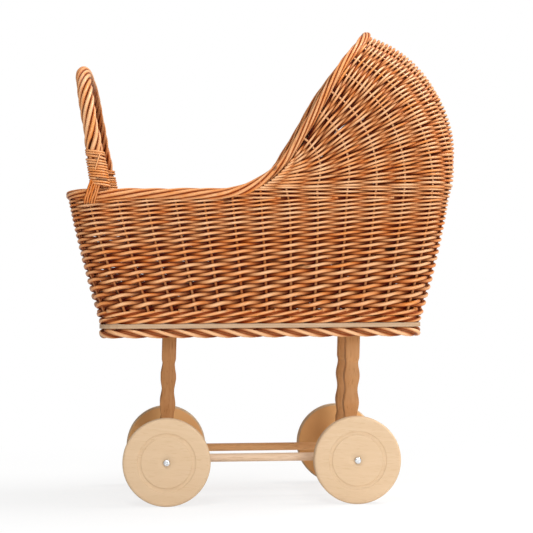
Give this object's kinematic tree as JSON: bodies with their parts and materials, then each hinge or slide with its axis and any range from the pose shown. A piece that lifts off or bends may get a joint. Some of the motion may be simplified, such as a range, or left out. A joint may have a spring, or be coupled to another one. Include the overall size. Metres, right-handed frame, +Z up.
{
  "type": "doll's pram",
  "caption": "Woven willow doll's pram with a fixed hood and bow handle, on a beech undercarriage with four turning wooden wheels.",
  "frame": {"origin": "on the floor, under the middle of the object's box", "axes": "+Z up; +X to the hood end, the way the pram is pushed; +Y to its left; the foot end with the handle is at -X"},
  "size_m": [0.4746, 0.2956, 0.5842],
  "materials": {
    "willow": "varnished honey-brown willow rods",
    "pale_beech": "oiled pale beech, fine flecked grain",
    "beech": "oiled steamed beech, reddish",
    "birch_plywood": "sanded birch plywood, layers showing at the edge",
    "zinc_plated_steel": "bright zinc plating"
  },
  "bodies": {
    "carriage": {"base_board": "birch_plywood", "foot_border": "willow", "lower_wale": "willow", "upper_wale": "willow", "cot_weave": "willow", "hood_weave": "willow", "rim_border": "willow", "handle_bow": "willow", "handle_binding_left": "willow", "handle_saddle_left": "willow", "handle_binding_right": "willow", "handle_saddle_right": "willow", "beam_front": "beech", "beam_rear": "beech", "rail_left": "beech", "rail_right": "beech", "leg_front_left": "beech", "board_screw_front_left": "zinc_plated_steel", "foot_screw_front_left": "zinc_plated_steel", "wheel_screw_front_left": "zinc_plated_steel", "washer_front_left": "zinc_plated_steel", "leg_front_right": "beech", "board_screw_front_right": "zinc_plated_steel", "foot_screw_front_right": "zinc_plated_steel", "wheel_screw_front_right": "zinc_plated_steel", "washer_front_right": "zinc_plated_steel", "leg_rear_left": "beech", "board_screw_rear_left": "zinc_plated_steel", "foot_screw_rear_left": "zinc_plated_steel", "wheel_screw_rear_left": "zinc_plated_steel", "washer_rear_left": "zinc_plated_steel", "leg_rear_right": "beech", "board_screw_rear_right": "zinc_plated_steel", "foot_screw_rear_right": "zinc_plated_steel", "wheel_screw_rear_right": "zinc_plated_steel", "washer_rear_right": "zinc_plated_steel"},
    "front_left_wheel": {"wheel_front_left": "pale_beech"},
    "front_right_wheel": {"wheel_front_right": "pale_beech"},
    "rear_left_wheel": {"wheel_rear_left": "pale_beech"},
    "rear_right_wheel": {"wheel_rear_right": "pale_beech"}
  },
  "joints": [
    {"name": "front_left_wheel_spin", "type": "hinge", "parent": "carriage", "child": "front_left_wheel", "pos_m": [0.1098, 0.1175, 0.05225], "axis": [0, 1, 0], "continuous": true},
    {"name": "front_right_wheel_spin", "type": "hinge", "parent": "carriage", "child": "front_right_wheel", "pos_m": [0.1098, -0.1175, 0.05225], "axis": [0, 1, 0], "continuous": true},
    {"name": "rear_left_wheel_spin", "type": "hinge", "parent": "carriage", "child": "rear_left_wheel", "pos_m": [-0.1178, 0.1175, 0.05225], "axis": [0, 1, 0], "continuous": true},
    {"name": "rear_right_wheel_spin", "type": "hinge", "parent": "carriage", "child": "rear_right_wheel", "pos_m": [-0.1178, -0.1175, 0.05225], "axis": [0, 1, 0], "continuous": true}
  ]
}
